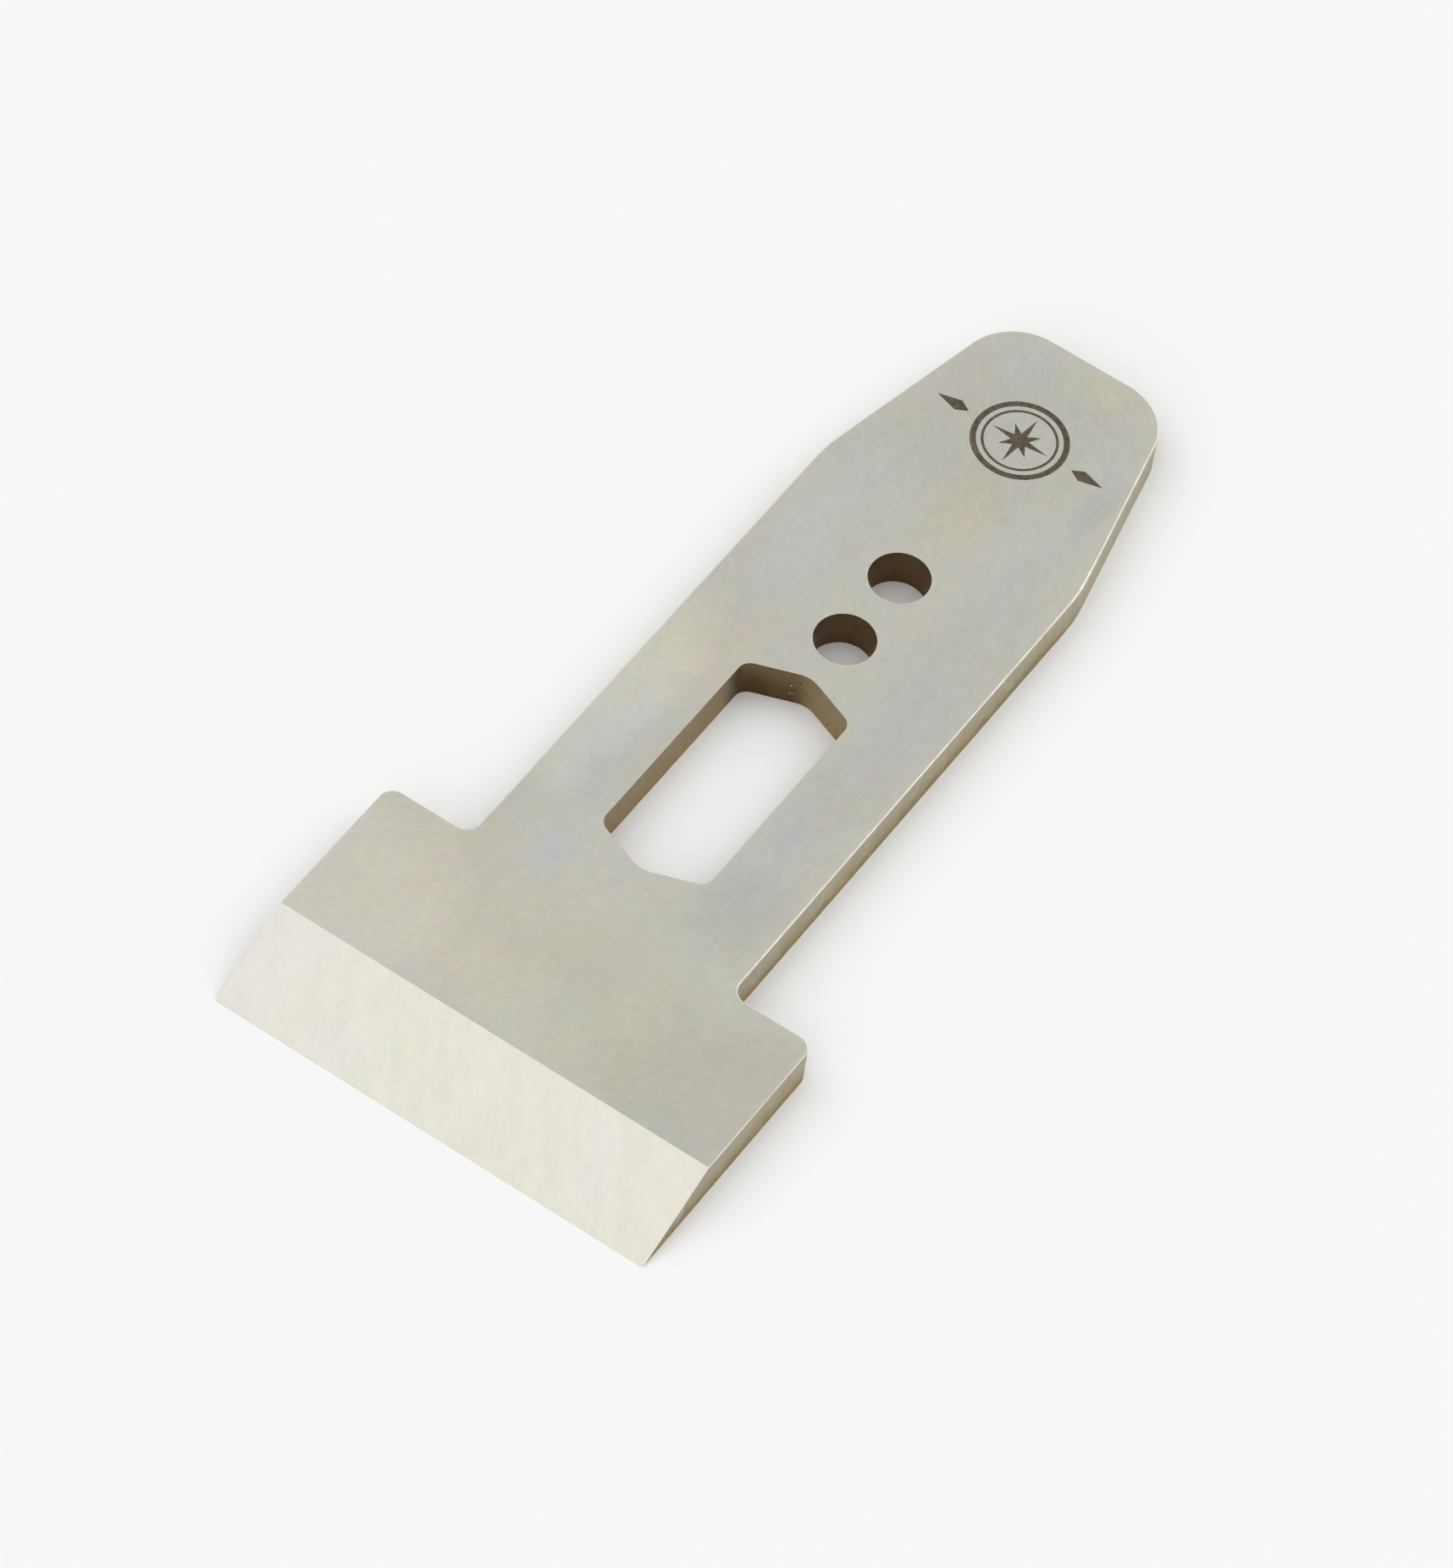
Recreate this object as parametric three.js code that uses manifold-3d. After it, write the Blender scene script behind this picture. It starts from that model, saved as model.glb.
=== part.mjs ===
// A plane iron: the T-shaped cutter of a rabbeting hand plane, one ground plate of hardened tool steel.
// The wide head carries the cutting bevel, the stem has a window for the cap screw and two holes for the
// adjuster's pin, and the tang narrows to a rounded end.
//
// Millimetres. The origin is the middle of the flat back, +X runs across the iron, +Y from the cutting edge
// to the tang, and +Z out of the bevelled side.

import * as THREE from 'three';
import { mergeVertices } from 'three/addons/utils/BufferGeometryUtils.js';
import Module from 'manifold-3d';

// Plate
const thickness = 4.7625;
const length = 117.475;
const edgeBreak = 0.2;

// Head and cutting bevel, with distances along the iron measured from the cutting edge
const cuttingWidth = 50.8;
const bevelLength = 10.55;
const shoulderFromEdge = 28.575;
const headCornerRadius = 1.6;
const shoulderFilletRadius = 1.6;

// Stem and tang
const stemWidth = 31.2;
const taperFromEdge = 91.44;
const taperBlendRadius = 15.5;
const tangEndWidth = 20.32;
const tangCornerRadius = 6.6;

// Window for the cap screw: parallel sides and gable ends
const windowWidth = 12.8;
const windowSideLength = 25.2;
const windowGableAngle = THREE.MathUtils.degToRad(21);
const windowFromEdge = 50.42;
const windowCornerRadius = 1.5;
const windowApexRadius = 3.2;

// Holes for the adjuster's pin
const pinHoleDiameter = 6.5;
const pinHolesFromEdge = [71.6, 81.55];

// Half as many points as each arc gets
const curveSegments = 6;

const cuttingEdgeY = -length / 2;
const fromEdge = (distance) => cuttingEdgeY + distance;

// A closed path round corners of the form [x, y, radius], with an arc tangent to both sides at each corner.
function roundedPath(path, corners) {
  corners.forEach(([x, y, radius], i) => {
    const corner = new THREE.Vector2(x, y);
    const previous = corners.at(i - 1);
    const next = corners[(i + 1) % corners.length];
    const toPrevious = new THREE.Vector2(previous[0], previous[1]).sub(corner).normalize();
    const toNext = new THREE.Vector2(next[0], next[1]).sub(corner).normalize();
    const halfAngle = Math.acos(toPrevious.dot(toNext)) / 2;
    const setback = radius / Math.tan(halfAngle);
    const centre = toPrevious.clone().add(toNext).setLength(radius / Math.sin(halfAngle)).add(corner);
    const start = toPrevious.clone().multiplyScalar(setback).add(corner).sub(centre);
    const end = toNext.clone().multiplyScalar(setback).add(corner).sub(centre);
    const clockwise = toPrevious.cross(toNext) > 0;
    path.absarc(centre.x, centre.y, radius, start.angle(), end.angle(), clockwise);
  });
  path.closePath();
  return path;
}

// The left-hand copies of corners that are given in order up the right-hand side, in order back down.
function mirrored(rightCorners) {
  return rightCorners.map(([x, y, radius]) => [-x, y, radius]).reverse();
}

// The outline runs past the cutting edge, where the bevel cut ends it.
function plateOutline() {
  const frontAllowance = 4;
  const rightSide = [
    [cuttingWidth / 2, fromEdge(-frontAllowance), headCornerRadius],
    [cuttingWidth / 2, fromEdge(shoulderFromEdge), headCornerRadius],
    [stemWidth / 2, fromEdge(shoulderFromEdge), shoulderFilletRadius],
    [stemWidth / 2, fromEdge(taperFromEdge), taperBlendRadius],
    [tangEndWidth / 2, fromEdge(length), tangCornerRadius],
  ];
  return roundedPath(new THREE.Shape(), [...rightSide, ...mirrored(rightSide)]);
}

function screwWindow() {
  const gableRise = Math.tan(windowGableAngle) * windowWidth / 2;
  const sideEnd = windowSideLength / 2;
  const centreY = fromEdge(windowFromEdge);
  const rightSide = [
    [windowWidth / 2, centreY - sideEnd, windowCornerRadius],
    [windowWidth / 2, centreY + sideEnd, windowCornerRadius],
  ];
  return roundedPath(new THREE.Path(), [
    [0, centreY - sideEnd - gableRise, windowApexRadius],
    ...rightSide,
    [0, centreY + sideEnd + gableRise, windowApexRadius],
    ...mirrored(rightSide),
  ]);
}

function pinHole(distanceFromEdge) {
  const hole = new THREE.Path();
  for (let quarter = 0; quarter < 4; quarter += 1) {
    const startAngle = quarter * Math.PI / 2;
    hole.absarc(0, fromEdge(distanceFromEdge), pinHoleDiameter / 2, startAngle, startAngle + Math.PI / 2);
  }
  return hole;
}

// The flat plate with its openings, lying on z = 0, with every edge broken by a small chamfer.
function plateGeometry() {
  const outline = plateOutline();
  outline.holes = [screwWindow(), ...pinHolesFromEdge.map(pinHole)];
  const plate = new THREE.ExtrudeGeometry(outline, {
    depth: thickness - 2 * edgeBreak,
    curveSegments,
    bevelEnabled: true,
    bevelThickness: edgeBreak,
    bevelSize: edgeBreak,
    bevelOffset: -edgeBreak,
    bevelSegments: 1,
  });
  return plate.translate(0, 0, edgeBreak);
}

// A block whose underside is the bevel's plane, which rises from the cutting edge.
function bevelCutGeometry() {
  const blockHeight = 10;
  const bevelAngle = Math.atan(thickness / bevelLength);
  const block = new THREE.BoxGeometry(cuttingWidth + 10, 4 * bevelLength, blockHeight);
  return block.translate(0, 0, blockHeight / 2).rotateX(bevelAngle).translate(0, cuttingEdgeY, 0);
}

const wasm = await Module();
wasm.setup();

function solidFrom(geometry) {
  geometry.deleteAttribute('normal');
  geometry.deleteAttribute('uv');
  const merged = mergeVertices(geometry);
  return new wasm.Manifold(new wasm.Mesh({
    numProp: 3,
    vertProperties: new Float32Array(merged.attributes.position.array),
    triVerts: new Uint32Array(merged.index.array),
  }));
}

function geometryFrom(solid) {
  const { vertProperties, triVerts } = solid.getMesh();
  const geometry = new THREE.BufferGeometry();
  geometry.setAttribute('position', new THREE.BufferAttribute(vertProperties, 3));
  geometry.setIndex(new THREE.BufferAttribute(triVerts, 1));
  geometry.computeVertexNormals();
  return geometry;
}

const groundSteel = new THREE.MeshStandardMaterial({ color: 0xb8b7ae, roughness: 0.38, metalness: 1 });

const planeIron = new THREE.Mesh(
  geometryFrom(solidFrom(plateGeometry()).subtract(solidFrom(bevelCutGeometry()))),
  groundSteel,
);
planeIron.name = 'plane_iron';

const part = new THREE.Group();
part.add(planeIron);

export default part;
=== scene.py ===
"""A T-shaped plane iron of ground tool steel, lying bevel side up on a pale studio floor."""

import math

import bmesh
import bpy
from mathutils import Euler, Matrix, Vector, geometry, noise


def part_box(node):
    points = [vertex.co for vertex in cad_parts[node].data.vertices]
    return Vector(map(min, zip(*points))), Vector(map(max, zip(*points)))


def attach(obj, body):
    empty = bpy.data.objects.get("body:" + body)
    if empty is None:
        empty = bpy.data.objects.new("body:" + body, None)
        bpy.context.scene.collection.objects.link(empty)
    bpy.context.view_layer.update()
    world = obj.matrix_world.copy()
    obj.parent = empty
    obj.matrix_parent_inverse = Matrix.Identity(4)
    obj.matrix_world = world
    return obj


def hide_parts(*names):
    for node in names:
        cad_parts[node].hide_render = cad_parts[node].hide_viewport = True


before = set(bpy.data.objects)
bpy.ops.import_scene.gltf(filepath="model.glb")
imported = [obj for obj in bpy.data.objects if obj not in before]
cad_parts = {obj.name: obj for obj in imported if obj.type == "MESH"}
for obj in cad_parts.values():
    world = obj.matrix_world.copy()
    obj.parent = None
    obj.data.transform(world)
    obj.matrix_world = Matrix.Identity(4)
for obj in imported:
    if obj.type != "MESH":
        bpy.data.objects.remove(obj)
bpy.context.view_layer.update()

# ---------------------------------------------------------------------------------------------
# Sizes. The iron is built in millimetres, in the CAD part's frame, and scaled to metres at the end.
# ---------------------------------------------------------------------------------------------

MM = 0.001
LOW, HIGH = (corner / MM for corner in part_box("plane_iron"))
THICKNESS = HIGH.z - LOW.z
CUTTING_WIDTH = HIGH.x - LOW.x
LENGTH = HIGH.y - LOW.y
EDGE_Y = LOW.y

BEVEL_LENGTH = 10.55
SHOULDER_FROM_EDGE = 28.575
HEAD_CORNER_RADIUS = 1.6
SHOULDER_FILLET_RADIUS = 1.6
STEM_WIDTH = 31.2
TAPER_FROM_EDGE = 91.44
TAPER_BLEND_RADIUS = 15.5
TANG_END_WIDTH = 20.32
TANG_CORNER_RADIUS = 6.6

WINDOW_WIDTH = 12.8
WINDOW_SIDE_LENGTH = 25.2
WINDOW_GABLE_ANGLE = math.radians(21)
WINDOW_FROM_EDGE = 50.42
WINDOW_CORNER_RADIUS = 1.5
WINDOW_APEX_RADIUS = 3.2

PIN_HOLE_RADIUS = 3.25
PIN_HOLES_FROM_EDGE = (71.6, 81.55)

EDGE_RADIUS = 0.13
OPENING_EDGE_RADIUS = 0.015
HEEL_FACET_WIDTH = 0.01
MICRO_BEVEL_SETBACK = 0.045
MICRO_BEVEL_EXTRA_ANGLE = math.radians(12)

STRAIGHT_STEP = 0.8
ARC_STEP = math.radians(5)
WALL_ROWS = 6
EDGE_ROWS = 4

MARK_CENTRE = (-0.2, EDGE_Y + 104.2)
MARK_DEPTH = 0.02
MARK_OUTER_RING = (5.2, 4.55)
MARK_INNER_RING = (4.05, 3.75)
STAR_RADII = (3.4, 0.95, 2.3, 0.95)
DART_ENDS = (6.3, 10.2)
DART_WIDTH = 1.5

RIM_WIDTH = 0.8
OPENING_RIM_WIDTH = 0.45

# The mesh's material slots, in order
GROUND, BEVEL, EDGE, OUTER_WALL, WINDOW_WALL, HOLE_WALL, MARK = range(7)

# ---------------------------------------------------------------------------------------------
# Colours, tints and marks of use. Places are in millimetres.
# ---------------------------------------------------------------------------------------------

# Linear colours of the ground face
PLAIN_STEEL = (0.571, 0.562, 0.499, 1)
COOL_STEEL = (0.546, 0.557, 0.544, 1)
WARM_STEEL = (0.584, 0.563, 0.462, 1)
RED_STEEL = (0.611, 0.559, 0.487, 1)
GREEN_STEEL = (0.546, 0.575, 0.506, 1)
RIM_STEEL = (0.592, 0.573, 0.492, 1)

# Linear colours of the bevel
BEVEL_STEEL = (0.628, 0.612, 0.541, 1)
BEVEL_LILAC = (0.632, 0.612, 0.566, 1)
BEVEL_OLIVE = (0.623, 0.614, 0.534, 1)
BEVEL_ROSE = (0.637, 0.608, 0.539, 1)

# Heat tints on the ground face, then patches of painted light and painted shade, each as (x, distance
# from cutting edge, half width, half length, share)
COOL_TINTS = (
    (-10.0, 83, 4.5, 15, 0.9),
    (-11.0, 46, 3.2, 9, 0.8),
    (-8.2, 30.5, 2.2, 6.5, 1.0),
    (10.0, 44, 3.5, 12, 0.7),
    (10.2, 66, 3.8, 10, 0.9),
    (9.8, 88, 3.6, 10, 1.0),
    (-4.5, 113.5, 5.0, 3.5, 0.6),
    (10.8, 102, 1.4, 7, 0.6),
)
WARM_TINTS = (
    (-10.5, 61, 5.5, 7, 1.0),
    (0.0, 91.5, 4.2, 6.5, 0.9),
    (4.2, 80, 1.6, 5, 0.8),
    (-12.0, 100, 1.6, 4, 0.6),
    (5.0, 115, 5.5, 3, 0.8),
    (0.0, 20, 27, 12, 0.85),
    (-18.0, 20, 12, 12, 0.6),
)
RED_TINTS = (
    (-8.0, 62, 5, 6, 0.8),
    (-8.0, 19, 9, 7, 0.8),
    (15.5, 18.5, 7, 7, 0.8),
)
GREEN_TINTS = (
    (9.5, 88, 4, 10, 0.8),
    (-10.0, 82, 2, 14, 0.6),
    (-5.0, 112.5, 3, 3, 0.6),
)
# Painted light: patches of the ground face made lighter, standing in for more light falling there
PAINTED_LIGHT_PATCHES = (
    (-22.0, 15, 16, 15, 1.0),
    (-8.0, 16, 16, 9, 0.45),
    (-13.5, 53, 5, 17, 0.9),
    (-11.0, 82, 6, 14, 0.35),
    (-6.0, 30, 12, 12, 0.35),
)
# Painted shade: patches of the ground face made darker, standing in for less light falling there
PAINTED_SHADE_PATCHES = (
    (21.0, 17, 14, 14, 0.8),
    (12.0, 70, 7, 45, 0.45),
    (2.0, 20, 12, 8, 0.35),
    (11.5, 38, 6, 9, 0.65),
    (11.0, 102, 2.5, 6, 0.8),
    (0.0, 104, 16, 16, 0.5),
)
BEVEL_LILAC_TINTS = (
    (-23.0, 6, 6, 8, 1.0),
    (-13.5, 1.5, 5, 3.5, 0.7),
    (15.8, 5.5, 3.2, 4.5, 0.8),
    (5.0, 5.0, 4, 3, 0.4),
)
BEVEL_OLIVE_TINTS = (
    (-16.5, 6, 5, 6, 0.6),
    (-5.0, 5, 10, 8, 1.0),
    (11.0, 2, 4, 4, 0.5),
)
BEVEL_ROSE_TINTS = (
    (4.5, 9.8, 7, 3.5, 1.0),
    (11.5, 6, 2.5, 4, 0.8),
    (22.5, 7, 4.5, 6, 0.8),
)
TINT_DRIFT = 9.0
BEVEL_DRIFT = 6.0
DRIFT_SCALE = 0.11

# Where tints and spots fade in, from outside to inside, as shares of their half sizes
TINT_FADE = (1.25, 0.35)
SPOT_FADE = (1.0, 0.6)
ANY_HEIGHT = 1e6

# The middle of the ground face's arcs, the slant of the bevel's lines, and how far from the middle the
# bevel's painted shading goes on getting brighter to the right
GRIND_CENTRE = (-88.0, 3.0)
BEVEL_GRIND_ANGLE = math.radians(31)
BEVEL_SHADING_END = 26.0

# A scuff beside the front pin hole, as (x, from edge, z, half length, half height)
FACE_SCUFFS = (
    (4.45, 71.80, THICKNESS, 0.22, 0.30),
    (4.85, 71.95, THICKNESS, 0.16, 0.30),
)
SCUFF_COLOUR = (0.36, 0.29, 0.22, 1)

# Tints and nicks on the walls: tints as above, nicks as (x, from edge, z, half length, half height)
OUTER_PALE_TINTS = (
    (14.0, 103, 6, 14, 1.0),
    (-14.0, 103, 6, 14, 0.6),
)
WINDOW_DARK_TINTS = (
    (-5.2, 63.2, 3.6, 3.2, 1.0),
    (-2.6, 64.5, 3.0, 2.0, 0.9),
)
WALL_NICKS = (
    (-1.72, 64.82, 2.65, 0.14, 0.08),
    (-1.76, 64.80, 1.40, 0.16, 0.07),
    (-1.45, 64.92, 1.45, 0.10, 0.06),
    (3.68, 64.06, 0.80, 0.10, 0.10),
    (4.10, 63.90, 0.60, 0.06, 0.10),
    (15.55, 78.3, 1.98, 0.35, 0.07),
    (15.55, 78.9, 1.90, 0.35, 0.09),
    (15.55, 79.4, 1.82, 0.30, 0.06),
)

# Linear colours of the cut walls: grey scale, brown scale and a darker colour towards the foot
OUTER_WALL_COLOURS = ((0.45, 0.405, 0.29, 1), (0.42, 0.345, 0.20, 1), (0.29, 0.22, 0.09, 1))
WINDOW_WALL_COLOURS = ((0.31, 0.245, 0.13, 1), (0.32, 0.235, 0.11, 1), (0.34, 0.25, 0.12, 1))
HOLE_WALL_COLOURS = ((0.170, 0.103, 0.044, 1), (0.160, 0.095, 0.036, 1), (0.13, 0.077, 0.029, 1))
DARK_PATCH_COLOUR = (0.098, 0.056, 0.014, 1)
PIT_COLOUR = (0.06, 0.04, 0.03, 1)
NICK_COLOUR = (0.75, 0.72, 0.62, 1)

# Linear colours of the worn edges and the burnt mark
BRIGHT_EDGE = (0.90, 0.87, 0.79, 1)
DULL_EDGE = (0.82, 0.79, 0.71, 1)
BURNT_BROWN = (0.112, 0.082, 0.056, 1)
SOOT = (0.062, 0.044, 0.031, 1)


def from_edge(distance):
    """The y of a point this far along the iron from its cutting edge."""
    return EDGE_Y + distance


# ---------------------------------------------------------------------------------------------
# Outlines. A loop is a list of (point, normal) pairs that keeps the steel on its left.
# ---------------------------------------------------------------------------------------------

def mirrored(right_corners):
    """The left-hand copies of corners given in order up the right-hand side, in order back down."""
    return [(-x, y, radius) for x, y, radius in reversed(right_corners)]


def arc_points(centre, radius, start, sweep, outward):
    """Points and normals along an arc. outward is 1 where the steel is inside it, and -1 outside."""
    steps = max(2, math.ceil(abs(sweep) / ARC_STEP))
    points = []
    for step in range(steps + 1):
        angle = start + sweep * step / steps
        ray = Vector((math.cos(angle), math.sin(angle)))
        points.append((centre + ray * radius, ray * outward))
    return points


def straight_points(start, end, normal):
    """Points strictly between two arcs' ends, with the normal of the straight side between them."""
    steps = max(1, round((end - start).length / STRAIGHT_STEP))
    return [(start.lerp(end, step / steps), normal) for step in range(1, steps)]


def rounded_loop(corners):
    """A loop round corners of the form (x, y, radius), with a tangent arc at each of them."""
    arcs = []
    for i, (x, y, radius) in enumerate(corners):
        corner = Vector((x, y))
        to_previous = (Vector(corners[i - 1][:2]) - corner).normalized()
        to_next = (Vector(corners[(i + 1) % len(corners)][:2]) - corner).normalized()
        half_angle = to_previous.angle(to_next) / 2
        centre = corner + (to_previous + to_next).normalized() * (radius / math.sin(half_angle))
        start = corner + to_previous * (radius / math.tan(half_angle)) - centre
        turn = math.copysign(math.pi - 2 * half_angle, to_next.cross(to_previous))
        outward = math.copysign(1, turn)
        arcs.append(arc_points(centre, radius, math.atan2(start.y, start.x), turn, outward))
    loop = []
    for arc, next_arc in zip(arcs, arcs[1:] + arcs[:1]):
        loop += arc + straight_points(arc[-1][0], next_arc[0][0], arc[-1][1])
    return loop


def plate_loop():
    """The plate's outline, which runs past the cutting edge to where the bevel cut ends it."""
    front_allowance = 4
    right_side = [
        (CUTTING_WIDTH / 2, from_edge(-front_allowance), HEAD_CORNER_RADIUS),
        (CUTTING_WIDTH / 2, from_edge(SHOULDER_FROM_EDGE), HEAD_CORNER_RADIUS),
        (STEM_WIDTH / 2, from_edge(SHOULDER_FROM_EDGE), SHOULDER_FILLET_RADIUS),
        (STEM_WIDTH / 2, from_edge(TAPER_FROM_EDGE), TAPER_BLEND_RADIUS),
        (TANG_END_WIDTH / 2, from_edge(LENGTH), TANG_CORNER_RADIUS),
    ]
    return rounded_loop(right_side + mirrored(right_side))


def window_loop():
    """The cap screw's window, with parallel sides and gable ends."""
    gable_rise = math.tan(WINDOW_GABLE_ANGLE) * WINDOW_WIDTH / 2
    side_end = WINDOW_SIDE_LENGTH / 2
    centre_y = from_edge(WINDOW_FROM_EDGE)
    right_side = [
        (WINDOW_WIDTH / 2, centre_y - side_end, WINDOW_CORNER_RADIUS),
        (WINDOW_WIDTH / 2, centre_y + side_end, WINDOW_CORNER_RADIUS),
    ]
    corners = [
        (0, centre_y - side_end - gable_rise, WINDOW_APEX_RADIUS),
        *right_side,
        (0, centre_y + side_end + gable_rise, WINDOW_APEX_RADIUS),
        *mirrored(right_side),
    ]
    return rounded_loop(corners[::-1])


def pin_hole_loop(distance):
    """A round hole for the depth adjuster's pin."""
    centre = Vector((0, from_edge(distance)))
    return arc_points(centre, PIN_HOLE_RADIUS, 0, -math.tau, -1)[:-1]


# ---------------------------------------------------------------------------------------------
# The etched mark: a plain compass star in two rings, with a dart at each side
# ---------------------------------------------------------------------------------------------

def circle(radius, clockwise=False, points=64):
    """A circle's points about the mark's centre."""
    turn = -math.tau if clockwise else math.tau
    return [Vector((radius * math.cos(turn * i / points), radius * math.sin(turn * i / points)))
            for i in range(points)]


def star(radii, turns=4):
    """A star's corners about the mark's centre, at these radii in turn."""
    count = turns * len(radii)
    corners = []
    for i in range(count):
        angle = math.tau * i / count
        radius = radii[i % len(radii)]
        corners.append(Vector((radius * math.cos(angle), radius * math.sin(angle))))
    return corners


def dart(start, end, width):
    """A long pointed lozenge from one x to another, widest at a third of its length from the star."""
    widest = start + (end - start) / 3
    corners = ((start, 0), (widest, -width / 2), (end, 0), (widest, width / 2))
    return [Vector(corner) for corner in corners]


def mark_loops():
    """The mark's outlines, each with the etched area on its left."""
    right_dart = dart(*DART_ENDS, DART_WIDTH)
    left_dart = [-point for point in right_dart]
    loops = []
    for outside, inside in (MARK_OUTER_RING, MARK_INNER_RING):
        loops += [circle(outside), circle(inside, clockwise=True)]
    loops += [star(STAR_RADII), right_dart, left_dart]
    return [[point + Vector(MARK_CENTRE) for point in loop] for loop in loops]


# ---------------------------------------------------------------------------------------------
# The iron's mesh
# ---------------------------------------------------------------------------------------------

def wall_profile(radius, rim_width):
    """(inset, z) from the back's inner rim, round its edge, up the wall and over the top's edge."""
    turns = [math.pi / 2 * row / EDGE_ROWS for row in range(EDGE_ROWS + 1)]
    lower = [(radius * (1 - math.sin(turn)), radius * (1 - math.cos(turn))) for turn in turns]
    height = THICKNESS - 2 * radius
    wall = [(0, radius + height * row / WALL_ROWS) for row in range(1, WALL_ROWS)]
    lower.insert(0, (radius + rim_width, 0))
    upper = [(inset, THICKNESS - z) for inset, z in reversed(lower)]
    return lower + wall + upper


def edge_radius(point):
    """The plate's edge radius: largest where the stem meets the tang, and smallest round the head."""
    blend_reach = 3
    from_blend = (point.y - from_edge(TAPER_FROM_EDGE + 1)) / blend_reach
    blend_gain = 0.6 * math.exp(-from_blend ** 2)
    head_loss = 0.45 if point.y < from_edge(SHOULDER_FROM_EDGE + 1) else 0
    wander = 0.25 * noise.noise(Vector((point.x * 0.12, point.y * 0.12, 0)))
    return EDGE_RADIUS * (1 - head_loss + blend_gain + wander)


def opening_radius(_):
    """The openings' edge radius, which only takes the burr off."""
    return OPENING_EDGE_RADIUS


def cut_unevenness(x, y, z):
    """How far the cut wall lies inside its nominal line: least at the top, most at the back."""
    depth = 1 - z / THICKNESS
    wave_height = 0.008 + 0.035 * depth
    ripple_height = 0.015 * depth
    waves = noise.noise(Vector((x * 0.9, y * 0.9, z * 0.5)))
    ripple = noise.noise(Vector((x * 2.7 + 40, y * 2.7, z * 0.8)))
    return wave_height * (0.5 + 0.5 * waves) + ripple_height * (0.5 + 0.5 * ripple)


def add_walls(mesh, loop, radius_at, rim_width, wall_material, edge_material):
    """The ring of walls and rounded edges under one loop. Returns the back and top rims' vertices.

    The edges of each rounded strip are creases, so that the flat faces beside it shade flat.
    """
    rim_layer = mesh.verts.layers.float["rim"]
    columns = []
    for point, normal in loop:
        column = []
        for inset, z in wall_profile(radius_at(point), rim_width):
            uneven = cut_unevenness(point.x, point.y, z)
            place = point - normal * (inset + uneven)
            vert = mesh.verts.new((place.x, place.y, z))
            vert[rim_layer] = 1
            column.append(vert)
        column[0][rim_layer] = column[-1][rim_layer] = 0
        columns.append(column)
    edge_rows = [edge_material] * EDGE_ROWS
    materials = [GROUND] + edge_rows + [wall_material] * WALL_ROWS + edge_rows + [GROUND]
    crease_rows = (1, 1 + EDGE_ROWS, 1 + EDGE_ROWS + WALL_ROWS, 1 + 2 * EDGE_ROWS + WALL_ROWS)
    for column, next_column in zip(columns, columns[1:] + columns[:1]):
        for row, material in enumerate(materials):
            corners = (column[row], next_column[row], next_column[row + 1], column[row + 1])
            mesh.faces.new(corners).material_index = material
        for row in crease_rows:
            mesh.edges.get((column[row], next_column[row])).smooth = False
    return [column[0] for column in columns], [column[-1] for column in columns]


def is_anticlockwise(points):
    """Whether a closed run of points goes round anticlockwise."""
    area = sum(a.x * b.y - b.x * a.y for a, b in zip(points, points[1:] + points[:1]))
    return area > 0


def fill_plane(rims, extra_loops=()):
    """Triangles between rims, as corner indices, each with the number of extra loops that hold it."""
    loops = [[vert.co.xy for vert in rim] for rim in rims] + [list(loop) for loop in extra_loops]
    points, faces = [], []
    for loop in loops:
        corners = list(range(len(points), len(points) + len(loop)))
        faces.append(corners if is_anticlockwise(loop) else corners[::-1])
        points += loop
    found = geometry.delaunay_2d_cdt(points, [], faces, 1, 1e-7)
    _, _, triangles, from_points, _, from_faces = found
    filled = []
    for triangle, sources in zip(triangles, from_faces):
        if any(0 < source < len(rims) for source in sources):
            continue
        inside = sum(source >= len(rims) for source in sources)
        filled.append(([from_points[corner][0] for corner in triangle], inside))
    return filled


def add_back(mesh, rims):
    """The flat back."""
    corners = [vert for rim in rims for vert in rim]
    for triangle, _ in fill_plane(rims):
        face = mesh.faces.new([corners[i] for i in reversed(triangle)])
        face.material_index = GROUND


def add_top(mesh, rims):
    """The ground top, with the mark etched into it."""
    loops = mark_loops()
    raised = [vert for rim in rims for vert in rim]
    sunk = list(raised)
    for loop in loops:
        high = [mesh.verts.new((p.x, p.y, THICKNESS)) for p in loop]
        low = [mesh.verts.new((p.x, p.y, THICKNESS - MARK_DEPTH)) for p in loop]
        raised += high
        sunk += low
        for i in range(len(loop)):
            j = (i + 1) % len(loop)
            side = mesh.faces.new((high[i], high[j], low[j], low[i]))
            side.material_index = MARK
            for edge in side.edges:
                edge.smooth = False
    for triangle, inside in fill_plane(rims, loops):
        etched = inside % 2 == 1
        level = sunk if etched else raised
        face = mesh.faces.new([level[i] for i in triangle])
        face.material_index = MARK if etched else GROUND


def grind_facet(mesh, y, z, angle, material):
    """Cuts away what lies above the plane through (y, z) that rises at this angle. Closes the cut."""
    cut = bmesh.ops.bisect_plane(
        mesh,
        geom=mesh.verts[:] + mesh.edges[:] + mesh.faces[:],
        dist=1e-6,
        plane_co=(0, y, z),
        plane_no=(0, -math.sin(angle), math.cos(angle)),
        clear_outer=True,
    )
    rim = [item for item in cut["geom_cut"] if isinstance(item, bmesh.types.BMEdge)]
    facet = bmesh.ops.holes_fill(mesh, edges=rim, sides=0)["faces"]
    for face in facet:
        face.material_index = material
    for edge in rim:
        edge.smooth = False


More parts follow.
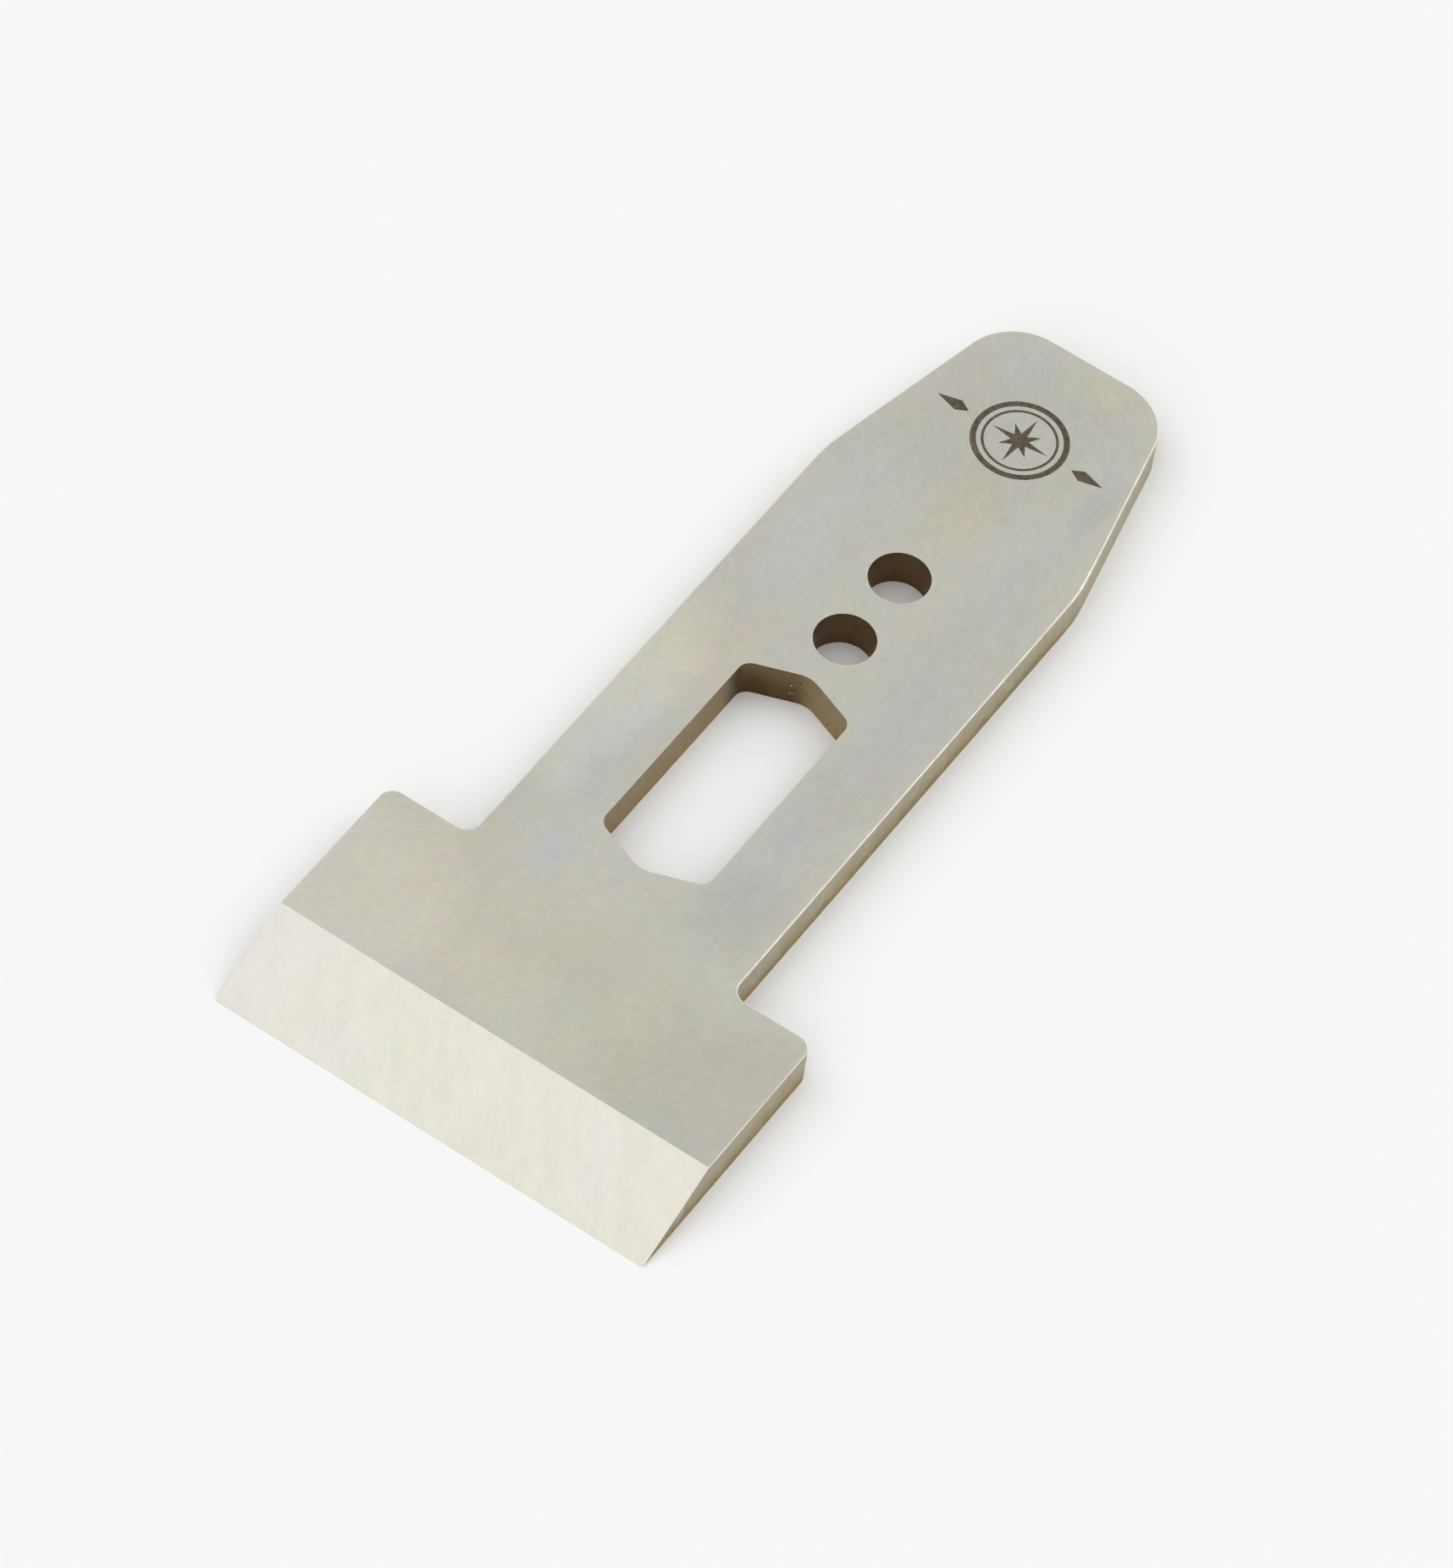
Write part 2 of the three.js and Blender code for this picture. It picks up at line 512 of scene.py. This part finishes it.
def grind_bevel(mesh):
    """The cutting bevel, the narrow facet along its heel and the honed strip at the cutting edge."""
    angle = math.atan(THICKNESS / BEVEL_LENGTH)
    grind_facet(mesh, EDGE_Y, 0, angle, BEVEL)
    heel_depth = HEEL_FACET_WIDTH * math.tan(angle / 2) / 2
    heel_y = from_edge(BEVEL_LENGTH) + heel_depth * math.sin(angle / 2)
    grind_facet(mesh, heel_y, THICKNESS - heel_depth * math.cos(angle / 2), angle / 2, BEVEL)
    grind_facet(mesh, from_edge(MICRO_BEVEL_SETBACK), 0, angle + MICRO_BEVEL_EXTRA_ANGLE, BEVEL)


def make_iron():
    """The whole iron as one mesh object."""
    mesh = bmesh.new()
    mesh.verts.layers.float.new("rim")
    rims = [
        add_walls(mesh, plate_loop(), edge_radius, RIM_WIDTH, OUTER_WALL, EDGE),
        add_walls(mesh, window_loop(), opening_radius, OPENING_RIM_WIDTH, WINDOW_WALL, WINDOW_WALL),
    ]
    for distance in PIN_HOLES_FROM_EDGE:
        loop = pin_hole_loop(distance)
        rims.append(add_walls(mesh, loop, opening_radius, OPENING_RIM_WIDTH, HOLE_WALL, HOLE_WALL))
    bottom_rims, top_rims = zip(*rims)
    add_back(mesh, bottom_rims)
    add_top(mesh, top_rims)
    grind_bevel(mesh)
    for face in mesh.faces:
        face.smooth = True
    bmesh.ops.scale(mesh, vec=(MM, MM, MM), verts=mesh.verts)
    data = bpy.data.meshes.new("plane_iron_ground")
    mesh.to_mesh(data)
    mesh.free()
    iron = bpy.data.objects.new("plane_iron_ground", data)
    bpy.context.scene.collection.objects.link(iron)
    return iron


# ---------------------------------------------------------------------------------------------
# Materials
# ---------------------------------------------------------------------------------------------

class Nodes:
    """A node tree, with short ways to add to it. A value is a number, a tuple or a socket."""

    def __init__(self, tree):
        self.tree = tree

    def add(self, kind, inputs=None, **settings):
        """A new node with these settings, its inputs linked or set."""
        node = self.tree.nodes.new(kind)
        for name, value in settings.items():
            setattr(node, name, value)
        for key, value in (inputs or {}).items():
            self.put(node.inputs[key], value)
        return node

    def put(self, socket, value):
        """Links a socket to another, or sets its value."""
        if isinstance(value, bpy.types.NodeSocket):
            self.tree.links.new(value, socket)
        else:
            socket.default_value = value

    def vector(self, operation, first, second=(0, 0, 0), scale=1.0):
        """The vector result of a vector operation."""
        inputs = {0: first, 1: second}
        if operation == "SCALE":
            inputs = {0: first, "Scale": scale}
        return self.add("ShaderNodeVectorMath", inputs, operation=operation).outputs["Vector"]

    def measure(self, operation, first, second=(0, 0, 0)):
        """The number that a vector operation gives, such as a length."""
        inputs = {0: first, 1: second}
        return self.add("ShaderNodeVectorMath", inputs, operation=operation).outputs["Value"]

    def math(self, operation, *values):
        """The result of a calculation on one to three values."""
        return self.add("ShaderNodeMath", dict(enumerate(values)), operation=operation).outputs[0]

    def fold(self, operation, values):
        """One value made of several by the same calculation, two at a time."""
        result = values[0]
        for value in values[1:]:
            result = self.math(operation, result, value)
        return result

    def product(self, *values):
        """The product of several values."""
        return self.fold("MULTIPLY", values)

    def largest(self, values):
        """The largest of several values."""
        return self.fold("MAXIMUM", values)

    def split(self, vector):
        """A vector's three parts."""
        return self.add("ShaderNodeSeparateXYZ", {0: vector}).outputs

    def join(self, x, y, z=0.0):
        """A vector of three parts."""
        return self.add("ShaderNodeCombineXYZ", {0: x, 1: y, 2: z}).outputs[0]


class Shader(Nodes):
    """A metal's material. Its place is a point on the iron, in millimetres."""

    def __init__(self, name):
        self.material = bpy.data.materials.new(name)
        self.material.use_nodes = True
        super().__init__(self.material.node_tree)
        self.surface = self.tree.nodes["Principled BSDF"]
        place = self.add("ShaderNodeTexCoord").outputs["Object"]
        self.place = self.vector("SCALE", place, scale=1 / MM)

    def noise(self, scale, vector=None, detail=2.0, roughness=0.5):
        """Noise from 0 to 1 with its scale in cycles per millimetre."""
        place = self.place if vector is None else vector
        inputs = {"Vector": place, "Scale": scale, "Detail": detail, "Roughness": roughness}
        return self.add("ShaderNodeTexNoise", inputs).outputs[0]

    def wander(self, place, scale, detail, reach):
        """A vector whose three parts each wander either side of 0, over a range of reach."""
        inputs = {"Vector": place, "Scale": scale, "Detail": detail, "Roughness": 0.6}
        hues = self.add("ShaderNodeTexNoise", inputs).outputs["Color"]
        return self.vector("SCALE", self.vector("SUBTRACT", hues, (0.5, 0.5, 0.5)), scale=reach)

    def span(self, value, low, high, to_low=0.0, to_high=1.0):
        """value, smoothly turned from the range low..high into to_low..to_high."""
        inputs = {0: value, 1: low, 2: high, 3: to_low, 4: to_high}
        return self.add("ShaderNodeMapRange", inputs, interpolation_type="SMOOTHSTEP").outputs[0]

    def mix(self, share, first, second, blend="MIX"):
        """One colour turned into another by a share from 0 to 1."""
        colour_a, colour_b, colour_result = 6, 7, 2
        inputs = {"Factor": share, colour_a: first, colour_b: second}
        node = self.add("ShaderNodeMix", inputs, data_type="RGBA", blend_type=blend)
        return node.outputs[colour_result]

    def bump(self, height, distance):
        """Puts a bump of this height, in millimetres, on the surface."""
        inputs = {"Height": height, "Distance": distance * MM, "Strength": 1.0}
        self.put(self.surface.inputs["Normal"], self.add("ShaderNodeBump", inputs).outputs[0])

    def finish(self, colour, roughness, metallic=1.0):
        """Sets the surface's colour, roughness and metalness."""
        self.put(self.surface.inputs["Base Color"], colour)
        self.put(self.surface.inputs["Roughness"], roughness)
        self.put(self.surface.inputs["Metallic"], metallic)
        return self.material


def grind_lines(s, fine_scale, shortness):
    """Fine arcs left by a ring grinder, from 0 to 1, round a centre to the left of the iron."""
    x, y, _ = s.split(s.place)
    dx = s.math("SUBTRACT", x, GRIND_CENTRE[0])
    dy = s.math("SUBTRACT", y, GRIND_CENTRE[1])
    radius = s.math("SQRT", s.math("ADD", s.product(dx, dx), s.product(dy, dy)))
    angle = s.math("ARCTAN2", dy, dx)
    along = s.join(radius, s.product(angle, shortness))
    return s.noise(fine_scale, along, 3.0, 0.65)


def reach_from(s, place, centre, half_sizes):
    """How far a place is from a centre, where 1 is the skin of an ellipsoid with these half sizes."""
    offset = s.vector("SUBTRACT", place, centre)
    return s.measure("LENGTH", s.vector("DIVIDE", offset, half_sizes))


def placed_tint(s, place, tints):
    """How strong placed patches are, from 0 to 1: heat tints and other tints, and painted light and
    shade. They are (x, from edge, half width, half length, share).
    """
    shares = []
    for x, distance, half_width, half_length, share in tints:
        half_sizes = (half_width, half_length, ANY_HEIGHT)
        reach = reach_from(s, place, (x, from_edge(distance), 0), half_sizes)
        shares.append(s.span(reach, *TINT_FADE, 0.0, share))
    return s.largest(shares)


def spots(s, centres):
    """Where small spots lie, from 0 to 1. They are (x, from edge, z, half length, half height)."""
    shares = []
    for x, distance, z, half_length, half_height in centres:
        half_sizes = (half_length, half_length, half_height)
        reach = reach_from(s, s.place, (x, from_edge(distance), z), half_sizes)
        shares.append(s.span(reach, *SPOT_FADE))
    return s.largest(shares)


def scattered_spots(s, scale, share, size):
    """Small round spots from 0 to 1, where this share of the cells of a loose grid hold one."""
    cells = s.add("ShaderNodeTexVoronoi", {"Vector": s.place, "Scale": scale, "Randomness": 1.0})
    pick = s.split(cells.outputs["Color"])[0]
    radius = s.span(pick, 1.0 - share, 1.0, 0.0, size)
    inside = s.span(s.math("SUBTRACT", cells.outputs["Distance"], radius), 0.03, -0.03)
    return s.product(inside, s.span(radius, 0.01, 0.05))


def speckled(s, colour, place, scale, amount, stretch=(1, 1, 1), detail=3.0):
    """colour with soft spots of other hues over it, at this many to the millimetre."""
    stretched = s.vector("MULTIPLY", place, stretch)
    return s.vector("ADD", colour, s.wander(stretched, scale, detail, amount))


def drifted(s, reach):
    """The place on the iron, pushed about over this range in millimetres, to make tints ragged."""
    return s.vector("ADD", s.place, s.wander(s.place, DRIFT_SCALE, 4.0, reach))


def scaled(s, colour, gain):
    """colour times a value."""
    return s.mix(1.0, colour, s.join(gain, gain, gain), "MULTIPLY")


def ground_face():
    """Flat-ground steel, faintly tinted by the hardening heat, with patches of painted light and painted
    shade.
    """
    s = Shader("ground_steel")
    warped = drifted(s, TINT_DRIFT)
    clouds = s.noise(0.16, s.vector("MULTIPLY", warped, (1, 0.45, 1)), 5.0, 0.62)
    mottle = s.noise(0.7, warped, 4.0, 0.6)
    cool = s.product(placed_tint(s, warped, COOL_TINTS), s.span(clouds, 0.3, 0.62, 0.45, 1.0))
    warm = s.product(placed_tint(s, warped, WARM_TINTS), s.span(clouds, 0.7, 0.4, 0.5, 1.0))
    colour = s.mix(s.span(clouds, 0.57, 0.77, 0.0, 0.25), PLAIN_STEEL, COOL_STEEL)
    colour = s.mix(cool, colour, COOL_STEEL)
    colour = s.mix(warm, colour, WARM_STEEL)
    red_blush = s.product(placed_tint(s, warped, RED_TINTS), s.span(mottle, 0.42, 0.62))
    colour = s.mix(red_blush, colour, RED_STEEL)
    green_blush = s.product(placed_tint(s, warped, GREEN_TINTS), s.span(mottle, 0.6, 0.4))
    colour = s.mix(green_blush, colour, GREEN_STEEL)
    colour = speckled(s, colour, warped, 0.20, 0.055, (1, 0.55, 1), 4.0)
    colour = speckled(s, colour, warped, 0.60, 0.055, (1, 0.7, 1))
    colour = speckled(s, colour, s.place, 2.2, 0.028)
    rim = s.add("ShaderNodeAttribute", attribute_name="rim").outputs["Fac"]
    rim = s.product(rim, s.span(s.noise(0.5), 0.35, 0.6, 0.55, 1.0))
    colour = s.mix(rim, colour, RIM_STEEL)
    colour = s.mix(s.product(spots(s, FACE_SCUFFS), 0.35), colour, SCUFF_COLOUR)
    lines = grind_lines(s, 2.6, 22.0)
    wide_lines = grind_lines(s, 0.8, 16.0)
    # The gain carries painted light and painted shade from the lighter and darker patches, and the real
    # changes in tone of the grind lines and mottling
    gain = s.product(
        s.span(placed_tint(s, warped, PAINTED_LIGHT_PATCHES), 0.0, 1.0, 0.958, 1.10),
        s.span(placed_tint(s, warped, PAINTED_SHADE_PATCHES), 0.0, 1.0, 1.0, 0.89),
        s.span(lines, 0.25, 0.75, 0.971, 1.029),
        s.span(wide_lines, 0.25, 0.75, 0.988, 1.012),
        s.span(mottle, 0.3, 0.7, 0.988, 1.012),
    )
    line_roughness = s.span(lines, 0.2, 0.8, 0.315, 0.345)
    patch_roughness = s.span(mottle, 0.3, 0.7, -0.004, 0.004)
    s.bump(lines, 0.0003)
    return s.finish(scaled(s, colour, gain), s.math("ADD", line_roughness, patch_roughness))


def fresh_bevel():
    """The bevel, ground after hardening, so brighter, with its own straight grind lines and painted
    shading that brightens it towards the right.
    """
    s = Shader("bevel_steel")
    turn = {"Vector": s.place, "Angle": -BEVEL_GRIND_ANGLE}
    along = s.add("ShaderNodeVectorRotate", turn, rotation_type="Z_AXIS").outputs[0]
    lines = s.noise(3.4, s.vector("MULTIPLY", along, (1, 0.12, 0.12)), 4.0, 0.65)
    bands = s.noise(0.55, s.vector("MULTIPLY", along, (1, 0.3, 0.3)), 4.0, 0.6)
    warped = drifted(s, BEVEL_DRIFT)
    colour = s.mix(placed_tint(s, warped, BEVEL_OLIVE_TINTS), BEVEL_STEEL, BEVEL_OLIVE)
    colour = s.mix(placed_tint(s, warped, BEVEL_LILAC_TINTS), colour, BEVEL_LILAC)
    colour = s.mix(placed_tint(s, warped, BEVEL_ROSE_TINTS), colour, BEVEL_ROSE)
    colour = speckled(s, colour, warped, 0.35, 0.030)
    gain = s.product(
        s.span(lines, 0.25, 0.75, 0.982, 1.018),
        s.span(bands, 0.3, 0.7, 0.978, 1.022),
        s.span(s.noise(0.9, detail=4.0), 0.3, 0.7, 0.987, 1.013),
        # Painted shading: the bevel is made brighter towards the right
        s.span(s.split(s.place)[0], -BEVEL_SHADING_END, BEVEL_SHADING_END, 1.018, 1.036),
    )
    s.bump(lines, 0.0006)
    return s.finish(scaled(s, colour, gain), s.span(lines, 0.2, 0.8, 0.27, 0.34))


def broken_edge():
    """Bright rims where the edges are stoned round."""
    s = Shader("edge_steel")
    wear = s.noise(1.2, detail=4.0)
    colour = s.mix(s.span(wear, 0.3, 0.7), BRIGHT_EDGE, DULL_EDGE)
    s.bump(s.noise(4.0), 0.002)
    return s.finish(colour, s.span(wear, 0.3, 0.7, 0.52, 0.66))


def scaled_wall(name, colours, dark_tints=(), pale_tints=()):
    """A cut wall under heat scale, with bands, mottling, pits and a few bright nicks."""
    s = Shader(name)
    grey_scale, brown_scale, foot_colour = colours
    height = s.split(s.place)[2]
    bands = s.noise(0.24, s.vector("MULTIPLY", s.place, (1, 1, 0.5)), 4.0, 0.6)
    mottle = s.noise(0.8, s.vector("MULTIPLY", s.place, (1, 1, 0.8)), 4.0, 0.6)
    striations = s.noise(3.5, s.vector("MULTIPLY", s.place, (1, 1, 0.06)), 2.0, 0.5)
    crown = s.math("ADD", s.product(height, 0.09), bands)
    colour = s.mix(s.span(crown, 0.86, 0.60), grey_scale, brown_scale)
    # Darker towards the bottom of the wall, in a ragged band
    foot = s.math("ADD", height, s.product(s.math("SUBTRACT", mottle, 0.5), 2.5))
    colour = s.mix(s.span(foot, 2.2, 0.2, 0.0, 0.75), colour, foot_colour)
    if pale_tints:
        colour = s.mix(placed_tint(s, s.place, pale_tints), colour, grey_scale)
    colour = speckled(s, colour, s.place, 0.8, 0.10)
    colour = speckled(s, colour, s.place, 2.5, 0.05)
    # A darker patch on the window's left gable, darker towards the bottom
    if dark_tints:
        reach = s.product(placed_tint(s, s.place, dark_tints), s.span(height, 5.0, 1.0, 0.6, 1.0))
        colour = s.mix(reach, colour, DARK_PATCH_COLOUR)
    gain = s.product(s.span(striations, 0.3, 0.7, 0.975, 1.025), s.span(mottle, 0.3, 0.7, 0.9, 1.1))
    colour = scaled(s, colour, gain)
    pits = scattered_spots(s, 1.2, 0.3, 0.2)
    colour = s.mix(s.product(pits, 0.75), colour, PIT_COLOUR)
    nicks = s.math("MAXIMUM", scattered_spots(s, 0.9, 0.05, 0.16), spots(s, WALL_NICKS))
    colour = s.mix(nicks, colour, NICK_COLOUR)
    relief = s.math("ADD", s.product(mottle, 0.6), s.product(striations, 0.4))
    relief = s.math("SUBTRACT", relief, s.product(pits, 0.8))
    s.bump(relief, 0.006)
    return s.finish(colour, s.span(mottle, 0.3, 0.7, 0.42, 0.58), 0.75)


def burnt_mark():
    """Laser-burnt steel."""
    s = Shader("burnt_mark")
    soot = s.noise(2.2, detail=4.0)
    colour = s.mix(s.span(soot, 0.3, 0.7), BURNT_BROWN, SOOT)
    s.bump(s.noise(6.0), 0.004)
    return s.finish(colour, s.span(soot, 0.3, 0.7, 0.55, 0.75), 0.2)


# ---------------------------------------------------------------------------------------------
# Floor, light and camera
# ---------------------------------------------------------------------------------------------

VIEW_AZIMUTH = math.radians(28.11)
VIEW_ELEVATION = math.radians(53.06)
VIEW_ROLL = math.radians(7.946)
VIEW_DISTANCE = 0.7816
VIEW_TARGET = Vector((-0.00085, -0.00632, 0))
LENS = 179.86
SENSOR_WIDTH = 36

# Each soft light is a lobe: (direction, radiance at its middle, sharpness). Where lobes add up to
# more than the brightest light, they level off, so that polished faces show no glare.
STUDIO_LIGHTS = {
    "overhead": ((0.1, 0.1, 1.0), 2.1, 16),
    "right": ((0.6, 0.35, 0.7), 1.55, 30),
    "left": ((-0.65, -0.1, 0.75), 2.2, 30),
    "front": ((0.0, -0.85, 0.5), 2.3, 18),
    "back": ((0.0, 0.9, 0.4), 1.65, 18),
    "back_right": ((0.3, 0.7, 0.65), 0.9, 40),
    "room_walls": ((0.0, 0.0, -1.0), 0.9, 1.5),
}
BRIGHTEST_LIGHT = 1.5
LIMIT_SOFTNESS = 0.2
STUDIO_LEVEL = 0.975
FLOOR_COLOUR = (0.88, 0.88, 0.88, 1)
FLOOR_HALF_WIDTH = 4.0


def make_camera():
    """A long lens in front of the iron, above it and to its right, held slightly askew."""
    data = bpy.data.cameras.new("camera")
    data.lens = LENS
    data.sensor_width = SENSOR_WIDTH
    camera = bpy.data.objects.new("camera", data)
    back = Vector((
        math.sin(VIEW_AZIMUTH) * math.cos(VIEW_ELEVATION),
        -math.cos(VIEW_AZIMUTH) * math.cos(VIEW_ELEVATION),
        math.sin(VIEW_ELEVATION),
    ))
    camera.location = VIEW_TARGET + back * VIEW_DISTANCE
    level = (-back).to_track_quat("-Z", "Y")
    camera.rotation_mode = "QUATERNION"
    camera.rotation_quaternion = level @ Euler((0, 0, VIEW_ROLL)).to_quaternion()
    bpy.context.scene.collection.objects.link(camera)
    bpy.context.scene.camera = camera


def make_floor():
    """A wide pale table top."""
    data = bpy.data.meshes.new("floor")
    signs = ((-1, -1), (1, -1), (1, 1), (-1, 1))
    corners = [(x * FLOOR_HALF_WIDTH, y * FLOOR_HALF_WIDTH, 0) for x, y in signs]
    data.from_pydata(corners, [], [(0, 1, 2, 3)])
    floor = bpy.data.objects.new("floor", data)
    material = bpy.data.materials.new("floor_paper")
    material.use_nodes = True
    surface = material.node_tree.nodes["Principled BSDF"]
    surface.inputs["Base Color"].default_value = FLOOR_COLOUR
    surface.inputs["Roughness"].default_value = 1.0
    surface.inputs["Specular IOR Level"].default_value = 0.0
    data.materials.append(material)
    bpy.context.scene.collection.objects.link(floor)


def make_light():
    """Soft studio light from above and all sides, and a faint glow from the room's walls."""
    world = bpy.data.worlds.new("studio")
    world.use_nodes = True
    nodes = Nodes(world.node_tree)
    sky = nodes.add("ShaderNodeTexCoord").outputs["Generated"]
    total = 0.0
    for direction, radiance, sharpness in STUDIO_LIGHTS.values():
        facing = nodes.measure("DOT_PRODUCT", sky, Vector(direction).normalized())
        half = nodes.math("MULTIPLY_ADD", facing, 0.5, 0.5)
        falloff = nodes.math("POWER", half, sharpness)
        total = nodes.math("MULTIPLY_ADD", falloff, radiance, total)
    limited = nodes.math("SMOOTH_MIN", total, BRIGHTEST_LIGHT, LIMIT_SOFTNESS)
    background = world.node_tree.nodes["Background"]
    nodes.put(background.inputs["Color"], limited)
    nodes.put(background.inputs["Strength"], STUDIO_LEVEL)
    bpy.context.scene.world = world


def paint(iron):
    """Gives the iron its materials in the order of its slots."""
    outer_wall = scaled_wall("outer_wall", OUTER_WALL_COLOURS, pale_tints=OUTER_PALE_TINTS)
    window_wall = scaled_wall("window_wall", WINDOW_WALL_COLOURS, dark_tints=WINDOW_DARK_TINTS)
    hole_wall = scaled_wall("hole_wall", HOLE_WALL_COLOURS)
    walls = (outer_wall, window_wall, hole_wall)
    for material in (ground_face(), fresh_bevel(), broken_edge(), *walls, burnt_mark()):
        iron.data.materials.append(material)


make_camera()
make_floor()
make_light()
plane_iron = make_iron()
paint(plane_iron)
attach(plane_iron, "root")
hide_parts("plane_iron")
bpy.context.scene.view_settings.view_transform = "Standard"
